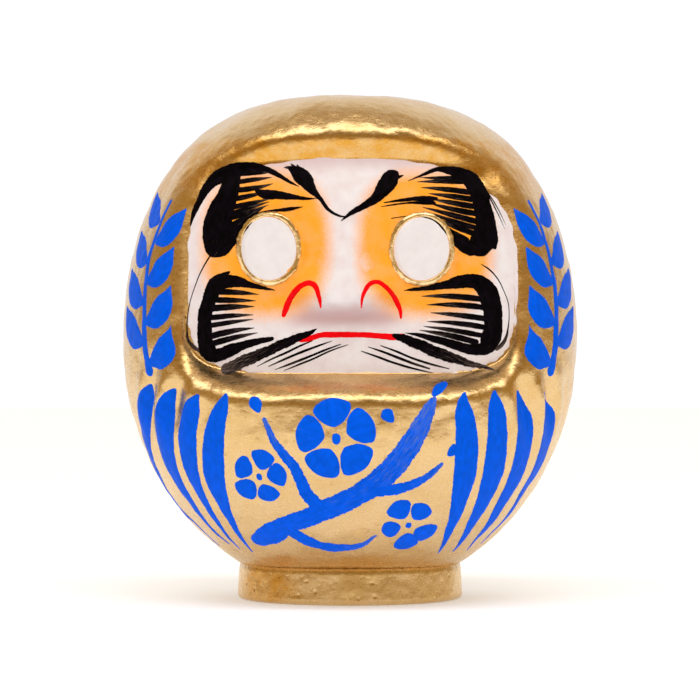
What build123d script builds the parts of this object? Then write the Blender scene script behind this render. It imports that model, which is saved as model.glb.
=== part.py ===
from build123d import *

import math
import os

# Daruma doll: a hollow papier-mache figure standing on a weighted foot.
# The moulded body is two pulp halves glued edge to edge in the plane y = 0, with
# paper strips pasted over the joint on the inside.  Its open neck sits on a pulp
# foot ring that holds a clay weight and a card base.
# Millimetres.  +Z is up, the face looks along -Y, and the origin is the middle of
# the foot where it stands on the table.

# ---- driving dimensions ----
HEIGHT = 233.0
WIDTH = 212.0
BELLY_DEPTH = 100.0         # furthest front of the robe, from the axis
BACK_DEPTH = 100.0          # furthest back of the robe, from the axis
WALL = 2.8                  # moulded pulp
SECTION_POWER = 2.2         # squareness of a horizontal section; 2 is an ellipse

WAIST_Z = 121.0             # widest level, seen from the front
BELLY_Z = 82.3              # level where the robe comes furthest forward
NECK_Z = 17.0               # the body's lower edge, on top of the foot ring
NECK_RADIUS = 52.0
NECK_BLEND = 12.0           # height over which the wall turns level with the neck edge

SIDE_DOME_POWER = 0.331    # roundness of the head seen from the front
BACK_DOME_POWER = 0.33
HOOD_DOME_POWER = 0.19      # the hood is fuller towards the brow

# ---- face opening: floor outline inside, hood ridge outside ----
OPENING_Z = 153.3
FLOOR_HALF_WIDTH = 74.0
FLOOR_TOP_Z = 201.3
FLOOR_BOTTOM_Z = 105.3
FLOOR_TOP_POWER = 3.2       # squareness of the corners
FLOOR_BOTTOM_POWER = 6.0
RIDGE_HALF_WIDTH = 89.0
RIDGE_TOP_Z = 212.6
RIDGE_BOTTOM_Z = 91.0
RIDGE_TOP_POWER = 3.6
RIDGE_BOTTOM_POWER = 4.5

FACE_DEPTH = 81.0           # middle of the face, from the axis
FACE_ROUNDNESS = 150.0      # radius of the face in plan
FOREHEAD_Z = 180.3
FOREHEAD_LEAN = 7.0

EYE_X = 34.0
EYE_Z = 160.7
EYE_HALF_WIDTH = 13.8
EYE_HALF_HEIGHT = 15.8
EYE_HEIGHT = 2.2

NOSE_TIP_Z = 137.3
NOSE_TOP_Z = 182.3
NOSE_HEIGHT = 9.0
NOSE_HALF_WIDTH = 10.0
NOSTRIL_X = 16.0
NOSTRIL_HEIGHT = 6.0
NOSTRIL_RADIUS = 8.5
NOSE_UNDERCUT = 7.0         # length over which the nose falls back to the lip

FOLD_Z = 93.0
FOLD_HEIGHT = 1.8
FOLD_REACH = 13.5
FOLD_SPREAD = 13.0          # degrees from one robe fold to the next
FOLD_MIDDLE = 53.0          # degrees from the front to the middle fold

# ---- joint strips ----
STRIP_HALF_WIDTH = 9.0
STRIP_THICKNESS = 0.8
GLUE_LINE = 0.45
STRIP_FOOT_Z = 34.0
STRIP_SHOULDER_Z = 190.0
STRIP_GAP_Z = 1.5

# ---- foot ----
FOOT_RADIUS = 52.2
FOOT_WALL = 4.3
FOOT_EDGE = 2.2
SPIGOT_HEIGHT = 7.0
SPIGOT_CLEARANCE = 0.4
SPIGOT_WALL = 3.2
SPIGOT_EDGE = 0.8
BOARD_THICKNESS = 2.0
BOARD_RECESS = 0.8
BOARD_HOLE_RADIUS = 7.5
SHOULDER_THICKNESS = 2.0    # ledge inside the ring that the weight butts against
WEIGHT_CLEARANCE = 0.3
HANDLING_HOLE_RADIUS = 6.0
WEIGHT_EDGE = 1.5

# ---- sampling of the sculpted surfaces ----
BODY_COLUMNS = 60
COLUMN_CROWDING = 0.25      # crowds the columns towards the middle of each half
NECK_ROWS = 16
FACE_ROWS = 40
CROWN_ROWS = 12
FACE_ROWS_FROM = 84.0
FACE_ROWS_TO = 213.5
CROWN_ROW_POWER = 2.6       # crowds the rows towards the crown
SURFACE_TOLERANCE = 0.05
SLOPE_STEP = 0.01
CROWN_CAP = 0.02            # the body counts as level this close to the crown


def smooth(t):
    """Cubic step from 0 to 1."""
    t = min(1.0, max(0.0, t))
    return t * t * (3.0 - 2.0 * t)


def lower_reach(full):
    """Half height of the ellipse that falls from the waist radius to the neck's."""
    return math.sqrt(1.0 - (NECK_RADIUS / full) ** 2)


def profile(z, full, middle_z, dome_power):
    """Radius at height z: an ellipse below middle_z, a domed curve above it."""
    if z >= middle_z:
        u = min(1.0, (z - middle_z) / (HEIGHT - middle_z))
        return full * (1.0 - u * u) ** dome_power
    w = (middle_z - z) / (middle_z - NECK_Z) * lower_reach(full)
    return full * math.sqrt(1.0 - w * w)


def side_radius(z):
    return profile(z, WIDTH / 2.0, WAIST_Z, SIDE_DOME_POWER)


def depth_radius(z, front):
    if front:
        return profile(z, BELLY_DEPTH, BELLY_Z, HOOD_DOME_POWER)
    return profile(z, BACK_DEPTH, WAIST_Z, BACK_DOME_POWER)


def envelope(angle, z):
    """Point of the plain body; angle in degrees, 0 to the front, 90 to +X."""
    a = math.radians(angle)
    power = 2.0 / SECTION_POWER
    x = math.copysign(abs(math.sin(a)) ** power, math.sin(a)) * side_radius(z)
    y = -math.copysign(abs(math.cos(a)) ** power, math.cos(a))
    return x, y * depth_radius(z, math.cos(a) > 0.0), z


def outline_level(x, z, half_width, top, bottom):
    """Below 1 inside a rounded outline, above 1 outside it; top and bottom are (z, power)."""
    end_z, power = top if z > OPENING_Z else bottom
    across = abs(x) / half_width
    upward = abs((z - OPENING_Z) / (end_z - OPENING_Z))
    return (across**power + upward**power) ** (1.0 / power)


def recess_share(x, z):
    """1 on the face floor, 0 outside the hood ridge, and a smooth slope between."""
    floor_top = (FLOOR_TOP_Z, FLOOR_TOP_POWER)
    floor_bottom = (FLOOR_BOTTOM_Z, FLOOR_BOTTOM_POWER)
    ridge_top = (RIDGE_TOP_Z, RIDGE_TOP_POWER)
    ridge_bottom = (RIDGE_BOTTOM_Z, RIDGE_BOTTOM_POWER)
    inner = outline_level(x, z, FLOOR_HALF_WIDTH, floor_top, floor_bottom)
    outer = outline_level(x, z, RIDGE_HALF_WIDTH, ridge_top, ridge_bottom)
    if inner <= 1.0:
        return 1.0
    if outer >= 1.0:
        return 0.0
    return 1.0 - smooth((inner - 1.0) / (inner - outer))


def bump(distance):
    """Round hump: 1 in the middle and 0 from distance 1 outwards."""
    return smooth(1.0 - distance)


def nose(x, z):
    """Broad low nose: a bridge that grows downwards, with a nostril wing each side."""
    if z >= NOSE_TIP_Z:
        rise = smooth((NOSE_TOP_Z - z) / (NOSE_TOP_Z - NOSE_TIP_Z))
    else:
        rise = smooth(1.0 - (NOSE_TIP_Z - z) / NOSE_UNDERCUT)
    width = NOSE_HALF_WIDTH * (1.0 + rise)
    bridge = NOSE_HEIGHT * rise * bump(abs(x) / width)
    wing_z = NOSE_TIP_Z + NOSTRIL_RADIUS / 2.0
    reach = NOSTRIL_RADIUS * (2.0 if z > wing_z else 1.0)
    away = math.hypot((abs(x) - NOSTRIL_X) / (1.5 * NOSTRIL_RADIUS), (z - wing_z) / reach)
    return bridge + NOSTRIL_HEIGHT * bump(away)


def face_y(x, z):
    """Depth of the face floor with its eyes and nose."""
    depth = FACE_DEPTH - x * x / (2.0 * FACE_ROUNDNESS)
    depth -= FOREHEAD_LEAN * smooth((z - FOREHEAD_Z) / (FLOOR_TOP_Z - FOREHEAD_Z))
    eye = math.hypot((abs(x) - EYE_X) / EYE_HALF_WIDTH, (z - EYE_Z) / EYE_HALF_HEIGHT)
    depth += EYE_HEIGHT * smooth(4.0 * (1.15 - eye))
    return -(depth + nose(x, z))


def robe_fold(angle, z):
    """Outward height of the soft folds where the robe leaves the hood."""
    level = math.exp(-(((z - FOLD_Z) / FOLD_REACH) ** 2))
    away = (abs(angle) - FOLD_MIDDLE) / FOLD_SPREAD
    spread = bump(abs(away) / 2.0)
    return FOLD_HEIGHT * level * spread * math.cos(2.0 * math.pi * away)


def plain_normal(x, y, z):
    """Outward unit normal of the plain body, from the gradient of its section formula."""
    if z > HEIGHT - CROWN_CAP:
        return Vector(0, 0, 1)
    front = y <= 0.0
    across, along = side_radius(z), depth_radius(z, front)
    across_slope = (side_radius(z + SLOPE_STEP) - side_radius(z - SLOPE_STEP)) / (2.0 * SLOPE_STEP)
    along_above, along_below = depth_radius(z + SLOPE_STEP, front), depth_radius(z - SLOPE_STEP, front)
    along_slope = (along_above - along_below) / (2.0 * SLOPE_STEP)
    share_x = abs(x / across) ** SECTION_POWER
    share_y = abs(y / along) ** SECTION_POWER
    normal_x = math.copysign(share_x ** (1.0 - 1.0 / SECTION_POWER) / across, x)
    normal_y = math.copysign(share_y ** (1.0 - 1.0 / SECTION_POWER) / along, y)
    normal_z = -share_x * across_slope / across - share_y * along_slope / along
    return Vector(normal_x, normal_y, normal_z).normalized()


def body_point(angle, z, inset=0.0):
    """Point of the sculpted body, moved inwards by inset; the neck edge stays level."""
    x, y, _ = envelope(angle, z)
    on_seam = abs(math.cos(math.radians(angle))) < 1e-9
    normal = plain_normal(x, 0.0 if on_seam else y, z)
    point = Vector(x, 0.0 if on_seam else y, z)
    if y < 0.0 and not on_seam:
        share = recess_share(x, z)
        point += Vector(0, share * (face_y(x, z) - y), 0)
        point += normal * (robe_fold(angle, z) * (1.0 - share))
    rise = smooth((z - NECK_Z) / NECK_BLEND)
    return point - Vector(normal.X, normal.Y, normal.Z * rise).normalized() * inset


def body_rows():
    """Heights of the sampled sections, from the neck to the crown."""
    rows = []
    for i in range(NECK_ROWS):
        rows.append(NECK_Z + (FACE_ROWS_FROM - NECK_Z) * math.sin(math.pi / 2.0 * i / NECK_ROWS))
    for i in range(FACE_ROWS):
        rows.append(FACE_ROWS_FROM + (FACE_ROWS_TO - FACE_ROWS_FROM) * i / FACE_ROWS)
    for i in range(CROWN_ROWS + 1):
        left = 1.0 - i / CROWN_ROWS
        rows.append(HEIGHT - (HEIGHT - FACE_ROWS_TO) * left**CROWN_ROW_POWER)
    return rows


def skin(middle, inset):
    """Sculpted surface of one body half; middle is the angle of its centre line."""
    steps = [2.0 * i / BODY_COLUMNS - 1.0 for i in range(BODY_COLUMNS + 1)]
    angles = [middle + 90.0 * (t - COLUMN_CROWDING * (t - t**3)) for t in steps]
    grid = [[body_point(a, z, inset) for a in angles] for z in body_rows()]
    return Face.make_surface_from_array_of_points(grid, tol=SURFACE_TOLERANCE, min_deg=3, max_deg=5)


def half_shell(middle):
    """One moulded half: outer skin, inner skin and the edges that join them."""
    outer = skin(middle, 0.0)
    inner = skin(middle, WALL)
    faces = [outer, inner]
    for edge in outer.edges():
        partner = min(inner.edges(), key=lambda e: (e.center() - edge.center()).length)
        faces.append(Face.make_surface_from_curves(edge, partner))
    return Solid(Shell(faces))


def seam_strip(stations):
    """Flat-wise paper strip along the inside of the joint, through (side, z) stations."""
    near = [body_point(90.0 * side, z, WALL + GLUE_LINE) for side, z in stations]
    far = [body_point(90.0 * side, z, WALL + GLUE_LINE + STRIP_THICKNESS) for side, z in stations]
    outer = Edge.make_spline(near)
    inner = Edge.make_spline(far)
    ends = [Edge.make_line(near[0], far[0]), Edge.make_line(near[-1], far[-1])]
    outline = Face(Wire([outer, inner] + ends))
    return extrude(outline, amount=STRIP_HALF_WIDTH, dir=(0, 1, 0), both=True)


def spaced(first, last, count):
    """Evenly spaced values from first to last."""
    return [first + (last - first) * i / (count - 1) for i in range(count)]


def foot_ring():
    """Pulp ring under the body, with a shoulder inside and a spigot into the neck."""
    inner = FOOT_RADIUS - FOOT_WALL
    neck = NECK_RADIUS - WALL - SPIGOT_CLEARANCE
    throat = neck - SPIGOT_WALL
    top = NECK_Z + SPIGOT_HEIGHT
    shoulder = NECK_Z - SHOULDER_THICKNESS
    section = Polyline(
        (inner, 0), (FOOT_RADIUS, 0), (FOOT_RADIUS, NECK_Z), (neck, NECK_Z), (neck, top),
        (throat, top), (throat, shoulder), (inner, shoulder), close=True,
    )
    ring = revolve(Plane.XZ * make_face(section), Axis.Z)
    lower = ring.edges().filter_by(GeomType.CIRCLE).group_by(Axis.Z)[0].sort_by(SortBy.RADIUS)[-1]
    upper = ring.edges().filter_by(GeomType.CIRCLE).group_by(Axis.Z)[-1]
    ring = fillet(lower, FOOT_EDGE)
    return fillet(ring.edges().filter_by(GeomType.CIRCLE).group_by(Axis.Z)[-1], SPIGOT_EDGE)


def base_board():
    """Card disc that closes the foot, with the handling hole."""
    radius = FOOT_RADIUS - FOOT_WALL - WEIGHT_CLEARANCE
    disc = Cylinder(radius, BOARD_THICKNESS) - Cylinder(BOARD_HOLE_RADIUS, BOARD_THICKNESS)
    return Pos(0, 0, BOARD_RECESS + BOARD_THICKNESS / 2.0) * disc


def base_weight():
    """Clay puck between the board and the ring's shoulder."""
    bottom = BOARD_RECESS + BOARD_THICKNESS
    height = NECK_Z - SHOULDER_THICKNESS - bottom
    radius = FOOT_RADIUS - FOOT_WALL - WEIGHT_CLEARANCE
    puck = Cylinder(radius, height)
    puck = chamfer(puck.edges().filter_by(GeomType.CIRCLE), WEIGHT_EDGE)
    puck -= Cylinder(HANDLING_HOLE_RADIUS, height)
    return Pos(0, 0, bottom + height / 2.0) * puck


def save(name, shape):
    shape.label = name
    export_step(shape, f"parts/{name}.step")


side_levels = spaced(STRIP_FOOT_Z, STRIP_SHOULDER_Z, 14)
crown_levels = [HEIGHT - (HEIGHT - STRIP_SHOULDER_Z - STRIP_GAP_Z) * t**2 for t in spaced(1.0, 0.0, 9)]
crown_stations = [(-1, z) for z in crown_levels] + [(1, z) for z in reversed(crown_levels[:-1])]

os.makedirs("parts", exist_ok=True)
save("front_shell", half_shell(0.0))
save("back_shell", half_shell(180.0))
save("left_seam_strip", seam_strip([(-1, z) for z in side_levels]))
save("right_seam_strip", seam_strip([(1, z) for z in side_levels]))
save("crown_seam_strip", seam_strip(crown_stations))
save("foot_ring", foot_ring())
save("base_board", base_board())
save("base_weight", base_weight())
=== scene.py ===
import math

import bpy
import numpy as np
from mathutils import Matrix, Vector


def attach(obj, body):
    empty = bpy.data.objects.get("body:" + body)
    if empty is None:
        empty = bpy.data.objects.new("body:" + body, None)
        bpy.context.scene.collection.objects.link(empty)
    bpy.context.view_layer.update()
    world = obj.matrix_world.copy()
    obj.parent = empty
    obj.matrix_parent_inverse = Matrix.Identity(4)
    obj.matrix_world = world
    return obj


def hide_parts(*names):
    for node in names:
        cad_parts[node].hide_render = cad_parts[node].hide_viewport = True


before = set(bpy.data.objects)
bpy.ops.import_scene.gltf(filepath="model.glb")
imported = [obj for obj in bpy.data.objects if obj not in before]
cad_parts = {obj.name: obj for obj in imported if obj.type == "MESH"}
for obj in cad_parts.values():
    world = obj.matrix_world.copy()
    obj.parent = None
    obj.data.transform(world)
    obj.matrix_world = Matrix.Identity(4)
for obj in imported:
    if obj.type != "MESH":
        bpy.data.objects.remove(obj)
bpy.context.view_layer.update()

bl_info = {
    "name": "Daruma doll",
    "version": (1, 0, 0),
    "blender": (4, 5, 0),
    "location": "View3D > Sidebar > Daruma",
    "description": "Builds the painted body, foot and studio of a papier-mache daruma doll",
    "category": "Object",
}

# Shape formulas are in millimetres; meshes are written in metres.
MM = 0.001

# ---------------------------------------------------------------- body shape

HEIGHT = 233.0
WIDTH = 212.0
BELLY_DEPTH = 100.0
BACK_DEPTH = 100.0
WALL = 2.8
SECTION_POWER = 2.2
WAIST_Z = 121.0
BELLY_Z = 82.3
NECK_Z = 17.0
NECK_RADIUS = 52.0
OPENING_Z = 153.3
FACE_ROWS_FROM = 84.0
FACE_ROWS_TO = 216.5


def smooth(t):
    """Cubic step from 0 to 1."""
    t = np.clip(t, 0.0, 1.0)
    return t * t * (3.0 - 2.0 * t)


def profile(z, full, middle, dome):
    """Radius at height z: an ellipse below the middle, a domed curve above it."""
    up = np.clip((z - middle) / (HEIGHT - middle), 0.0, 1.0)
    reach = math.sqrt(1.0 - (NECK_RADIUS / full) ** 2)
    down = np.clip((middle - z) / (middle - NECK_Z), 0.0, 1.05) * reach
    return full * np.where(z >= middle, (1.0 - up * up) ** dome, np.sqrt(1.0 - down * down))


def side_radius(z):
    """Half width of the plain body."""
    return profile(z, WIDTH / 2.0, WAIST_Z, 0.331)


def depth_radius(z, front):
    """Reach of the plain body to the front or to the back."""
    hood = profile(z, BELLY_DEPTH, BELLY_Z, 0.19)
    return np.where(front, hood, profile(z, BACK_DEPTH, WAIST_Z, 0.33))


def outline_level(x, z, half_width, top, bottom):
    """Below 1 inside a rounded outline, above 1 outside it; top and bottom are (z, power)."""
    above = z > OPENING_Z
    power = np.where(above, top[1], bottom[1])
    upward = np.abs((z - OPENING_Z) / np.where(above, top[0] - OPENING_Z, bottom[0] - OPENING_Z))
    return ((np.abs(x) / half_width) ** power + upward**power) ** (1.0 / power)


def recess_share(x, z):
    """1 on the face floor, 0 outside the hood ridge; crisp at the brow, and a full roll
    that flattens forwards at the collar."""
    inner = outline_level(x, z, 74.0, (201.3, 3.2), (105.3, 6.0))
    outer = outline_level(x, z, 89.0, (214.8, 3.6), (90.0, 4.5))
    t = np.clip((inner - 1.0) / np.maximum(inner - outer, 1e-6), 0.0, 1.0)
    crisp = smooth((z - 131.0) / 45.0)
    roll = 0.3 * (1.0 - smooth(t)) + 0.7 * (1.0 - t) ** 2.3
    slope = crisp * (1.0 - t**1.7) ** 1.35 + (1.0 - crisp) * roll
    return np.where(inner <= 1.0, 1.0, np.where(outer >= 1.0, 0.0, slope))


def bump(distance):
    """Round hump: 1 in the middle and 0 from distance 1 outwards."""
    return smooth(1.0 - distance)


def face_y(x, z):
    """Depth of the face floor with its eye domes, nose bridge and nostril wings."""
    depth = 81.0 - x * x / 300.0 - 7.0 * smooth((z - 180.3) / 21.0)
    eye = np.hypot((np.abs(x) - 34.0) / 13.8, (z - 160.7) / 15.8)
    depth = depth + 2.2 * smooth(4.0 * (1.15 - eye))
    rise = np.where(z >= 137.3, smooth((182.3 - z) / 45.0), smooth(1.0 - (137.3 - z) / 7.0))
    off = x + 3.0
    depth = depth + 9.0 * rise * bump(np.abs(off) / (10.0 * (1.0 + rise)))
    reach = np.where(z > 141.5, 17.0, 8.5)
    return -(depth + 6.0 * bump(np.hypot((np.abs(off) - 16.0) / 12.75, (z - 141.5) / reach)))


def robe_fold(angle, z):
    """Outward height of the slanted robe folds that run off the collar's corners."""
    away = (np.abs(angle) + 0.3 * (z - 92.0) - 54.0) / 13.0
    level = np.exp(-(((z - 92.0) / 13.5) ** 2))
    return 2.5 * level * bump(np.abs(away) / 2.0) * np.cos(2.0 * np.pi * away)


def waves(points, lengths, seed):
    """Smooth lumps between -1 and 1: a sum of sine waves in random directions."""
    rng = np.random.default_rng(seed)
    total = np.zeros(len(points))
    for length in lengths:
        way = rng.normal(size=3)
        way *= 2.0 * np.pi / (length * np.linalg.norm(way))
        total += np.sin(points @ way + rng.uniform(0.0, 6.28))
    return total / math.sqrt(len(lengths))


def envelope(angle, z):
    """Point of the plain body; angle in degrees, 0 to the front, 90 to +X."""
    a = np.radians(angle)
    power = 2.0 / SECTION_POWER
    x = np.sign(np.sin(a)) * np.abs(np.sin(a)) ** power * side_radius(z)
    cos = np.where(np.abs(np.cos(a)) < 1e-9, 0.0, np.cos(a))
    y = -np.sign(cos) * np.abs(cos) ** power * depth_radius(z, cos > 0.0)
    return np.stack([x, y, z + 0.0 * x], axis=-1)


def plain_normal(point):
    """Outward unit normal of the plain body, from the gradient of its section formula."""
    x, y, z = point[..., 0], point[..., 1], point[..., 2]
    front = y <= 0.0
    z = np.minimum(z, HEIGHT - 0.02)
    across, along = side_radius(z), depth_radius(z, front)
    across_slope = (side_radius(z + 0.01) - side_radius(z - 0.01)) / 0.02
    along_slope = (depth_radius(z + 0.01, front) - depth_radius(z - 0.01, front)) / 0.02
    share_x = np.abs(x / across) ** SECTION_POWER
    share_y = np.abs(y / along) ** SECTION_POWER
    lean = 1.0 - 1.0 / SECTION_POWER
    normal = np.stack([
        np.sign(x) * share_x**lean / across,
        np.sign(y) * share_y**lean / along,
        -share_x * across_slope / across - share_y * along_slope / along,
    ], axis=-1)
    top = point[..., 2:] > HEIGHT - 0.02
    normal = np.where(top, np.array([0.0, 0.0, 1.0]), normal)
    return normal / np.linalg.norm(normal, axis=-1, keepdims=True)


def body_surface(angle, z, inset=0.0, under_paint=False):
    """The sculpted body: the plain form with the face set back, the robe folds and the
    shallow dents of beaten paper, then moved inwards by inset.  Under the white face
    paint it can be sunk a little, so that the two surfaces keep apart."""
    angle, z = np.broadcast_arrays(np.asarray(angle, float), np.asarray(z, float))
    point = envelope(angle, z)
    normal = plain_normal(point)
    front = point[..., 1] < 0.0
    share = np.where(front, recess_share(point[..., 0], z), 0.0)
    point[..., 1] += share * (face_y(point[..., 0], z) - point[..., 1])
    flat = point.reshape(-1, 3)
    broad = waves(flat, np.linspace(13.0, 34.0, 14), 4).reshape(z.shape)
    fine = waves(flat, np.linspace(4.5, 9.0, 16), 5).reshape(z.shape)
    beaten = (0.24 * broad + 0.07 * fine) * (1.0 - 0.75 * share)
    folds = np.where(front, robe_fold(angle, z), 0.0) * (1.0 - share)
    point += normal * (beaten + folds)[..., None] * smooth((z - NECK_Z) / 5.0)[..., None]
    level = normal * np.array([1.0, 1.0, 0.0]) + normal * np.array([0.0, 0.0, 1.0]) * smooth((z - NECK_Z) / 12.0)[..., None]
    level /= np.linalg.norm(level, axis=-1, keepdims=True)
    point = point - level * inset
    if under_paint:
        sunk = smooth((0.985 - outline_level(point[..., 0] - 0.9, z, 73.0, (200.6, 3.0), (105.4, 5.0))) / 0.03)
        point[..., 1] += 0.7 * sunk * front
    seam = np.abs(np.cos(np.radians(angle))) < 1e-9
    point[..., 1] = np.where(seam, 0.0, point[..., 1])
    return point


def angle_at(x, z):
    """Angle round the front of the body for a place x across at height z."""
    share = np.clip(np.abs(x) / side_radius(z), 0.0, 1.0) ** (SECTION_POWER / 2.0)
    return np.degrees(np.arcsin(share)) * np.sign(x)


def surface_and_normal(angle, z):
    """Sculpted surface point and its outward normal, from differences along both ways."""
    here = body_surface(angle, z)
    along = body_surface(angle + 0.08, z) - body_surface(angle - 0.08, z)
    up = body_surface(angle, z + 0.12) - body_surface(angle, z - 0.12)
    normal = np.cross(along, up)
    return here, normal / np.linalg.norm(normal, axis=-1, keepdims=True)


# ---------------------------------------------------------------- mesh helpers


def grid_faces(rows, cols, wrap=False, start=0):
    """Quads of a grid of rows by cols vertices; wrap joins the last column to the first."""
    i = np.arange(rows - 1)[:, None]
    j = np.arange(cols if wrap else cols - 1)[None, :]
    k = (j + 1) % cols
    quads = np.stack([i * cols + j, i * cols + k, (i + 1) * cols + k, (i + 1) * cols + j], axis=-1)
    return quads.reshape(-1, 4) + start


def signed_volume(points, faces):
    """Volume inside a closed mesh; negative when its faces look inwards."""
    total = 0.0
    for block in faces:
        block = np.asarray(block)
        for k in range(1, block.shape[1] - 1):
            first, second, third = (points[block[:, i]] for i in (0, k, k + 1))
            total += np.einsum("ij,ij->", first, np.cross(second, third))
    return total


def make_piece(name, points, faces, material, layers=None, uv=None, sharp=40.0):
    """Mesh object from points in millimetres and a list of face index arrays, riding on
    the root body.  layers holds one number per vertex under each attribute name, and uv
    holds two per vertex."""
    mesh = bpy.data.meshes.new(name)
    order = 1 if signed_volume(np.asarray(points), faces) > 0.0 else -1
    polygons = [face for block in faces for face in np.asarray(block)[:, ::order].tolist()]
    mesh.from_pydata((np.asarray(points) * MM).tolist(), [], polygons)
    for key, values in (layers or {}).items():
        layer = mesh.attributes.new(key, "FLOAT", "POINT")
        layer.data.foreach_set("value", np.asarray(values, dtype=np.float32).ravel())
    if uv is not None:
        corner = np.empty(len(mesh.loops), dtype=np.int32)
        mesh.loops.foreach_get("vertex_index", corner)
        coords = mesh.uv_layers.new(name="brush")
        coords.data.foreach_set("uv", np.asarray(uv, dtype=np.float32)[corner].ravel())
    mesh.materials.append(material)
    mesh.shade_smooth()
    mesh.set_sharp_from_angle(angle=math.radians(sharp))
    mesh.update()
    piece = bpy.data.objects.new(name, mesh)
    bpy.context.scene.collection.objects.link(piece)
    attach(piece, "root")
    return piece


def body_rows():
    """Heights of the mesh rows, closer together on the face and towards the crown."""
    low = NECK_Z + (FACE_ROWS_FROM - NECK_Z) * np.sin(np.pi / 2.0 * np.arange(72) / 72.0)
    face = np.linspace(FACE_ROWS_FROM, FACE_ROWS_TO, 152, endpoint=False)
    crown = HEIGHT - (HEIGHT - FACE_ROWS_TO) * (1.0 - np.arange(44) / 44.0) ** 2.6
    return np.concatenate([low, face, crown])


def half_body(name, middle, count, material):
    """One papier-mache half as a closed wall.  The outer skin is a grid over angle and
    height that ends in one crown point; the inner skin is every fourth row and column of
    it, moved in by the wall; strips of triangles close the seam and neck edges."""
    step = np.linspace(-1.0, 1.0, count * 4 + 1)
    angles = middle + 90.0 * (step - 0.22 * (step - step**3))
    rows = body_rows()
    a, z = np.meshgrid(angles, rows)
    outer = body_surface(a, z, under_paint=True).reshape(-1, 3)
    inner = body_surface(a[::4, ::4], z[::4, ::4], WALL).reshape(-1, 3)
    crown = body_surface(np.array([0.0]), np.array([HEIGHT]))
    crown_inside = crown - np.array([0.0, 0.0, WALL])
    cols, less = len(angles), (len(angles) + 3) // 4
    last = len(outer)
    top, top_inside = last, last + 1
    first = last + 2
    points = np.concatenate([outer, crown, crown_inside, inner])
    inner_rows = len(range(0, len(rows), 4))
    faces = [grid_faces(len(rows), cols), grid_faces(inner_rows, less, start=first)[:, ::-1]]
    j = np.arange(cols - 1)
    edge = (len(rows) - 1) * cols
    faces.append(np.stack([edge + j, edge + j + 1, np.full_like(j, top)], axis=-1))
    j = np.arange(less - 1)
    edge = first + (inner_rows - 1) * less
    faces.append(np.stack([edge + j + 1, edge + j, np.full_like(j, top_inside)], axis=-1))
    left = np.append(np.arange(len(rows)) * cols, top)
    left_in = np.append(first + np.arange(inner_rows) * less, top_inside)
    right, right_in = left + cols - 1, left_in + less - 1
    right[-1], right_in[-1] = top, top_inside
    faces += stitch(left, left_in, True) + stitch(right, right_in, False)
    faces += stitch(np.arange(cols), first + np.arange(less), False)
    layers = {"orange_and_reflection": overspray(points)}
    return make_piece(name, points, faces, material, layers, sharp=60.0)


def overspray(points):
    """How much orange drifted onto the gold round the face, most of it on the brow."""
    x, z = points[:, 0], points[:, 2]
    level = outline_level(x, z, 74.0, (201.3, 3.2), (105.3, 6.0))
    brow = smooth((z - 178.0) / 20.0) * smooth((213.0 - z) / 4.0)
    aside = 0.4 * smooth((z - 96.0) / 12.0) * smooth((1.2 - level) / 0.16)
    return np.where(points[:, 1] < -20.0, np.maximum(brow, aside), 0.0)


def stitch(long, short, flip):
    """Triangles between a fine edge and a coarse one that has every fourth of its points."""
    i = np.arange(len(long) - 1)
    near = np.minimum((i + 2) // 4, len(short) - 1)
    fans = np.stack([long[i], short[near], long[i + 1]], axis=-1)
    j = np.arange(len(short) - 1)
    at = np.minimum(4 * j + 2, len(long) - 1)
    joins = np.stack([short[j], short[j + 1], long[at]], axis=-1)
    if flip:
        return [fans[:, ::-1], joins[:, ::-1]]
    return [fans, joins]


# ---------------------------------------------------------------- brush strokes


def curve_through(points, at):
    """Values at distances along a smooth curve through control points; every row of
    points is one control point, and slopes are the mean of the two chords beside it."""
    points = np.asarray(points, float)
    gaps = np.linalg.norm(np.diff(points[:, :2], axis=0), axis=1)
    knots = np.concatenate([[0.0], np.cumsum(gaps)])
    slopes = np.gradient(points, knots, axis=0)
    k = np.clip(np.searchsorted(knots, at, side="right") - 1, 0, len(gaps) - 1)
    h = gaps[k][:, None]
    t = ((at - knots[k]) / gaps[k])[:, None]
    a, b, c, d = points[k], points[k + 1], slopes[k] * h, slopes[k + 1] * h
    return a * (1 + 2 * t) * (1 - t) ** 2 + b * t * t * (3 - 2 * t) + c * t * (1 - t) ** 2 + d * t * t * (t - 1)


def stroke_samples(points, spacing):
    """Distances along a stroke, evenly spaced and crowded into its two round ends."""
    points = np.asarray(points, float)
    length = np.linalg.norm(np.diff(points[:, :2], axis=0), axis=1).sum()
    turn = 1.0 - np.cos(np.linspace(0.06, np.pi / 2.0, 7))
    near = min(points[0, 2] / 2.0, 0.3 * length)
    far = min(points[-1, 2] / 2.0, 0.3 * length)
    middle = np.linspace(near, length - far, max(5, int((length - near - far) / spacing)))[1:-1]
    at = np.concatenate([near * turn, middle, length - far * turn[::-1]])
    cap_near = np.sqrt(np.clip(1.0 - np.clip(1.0 - at / near, 0.0, 1.0) ** 2, 0.0, 1.0))
    cap_far = np.sqrt(np.clip(1.0 - np.clip(1.0 - (length - at) / far, 0.0, 1.0) ** 2, 0.0, 1.0))
    return at, cap_near * cap_far, length


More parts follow.
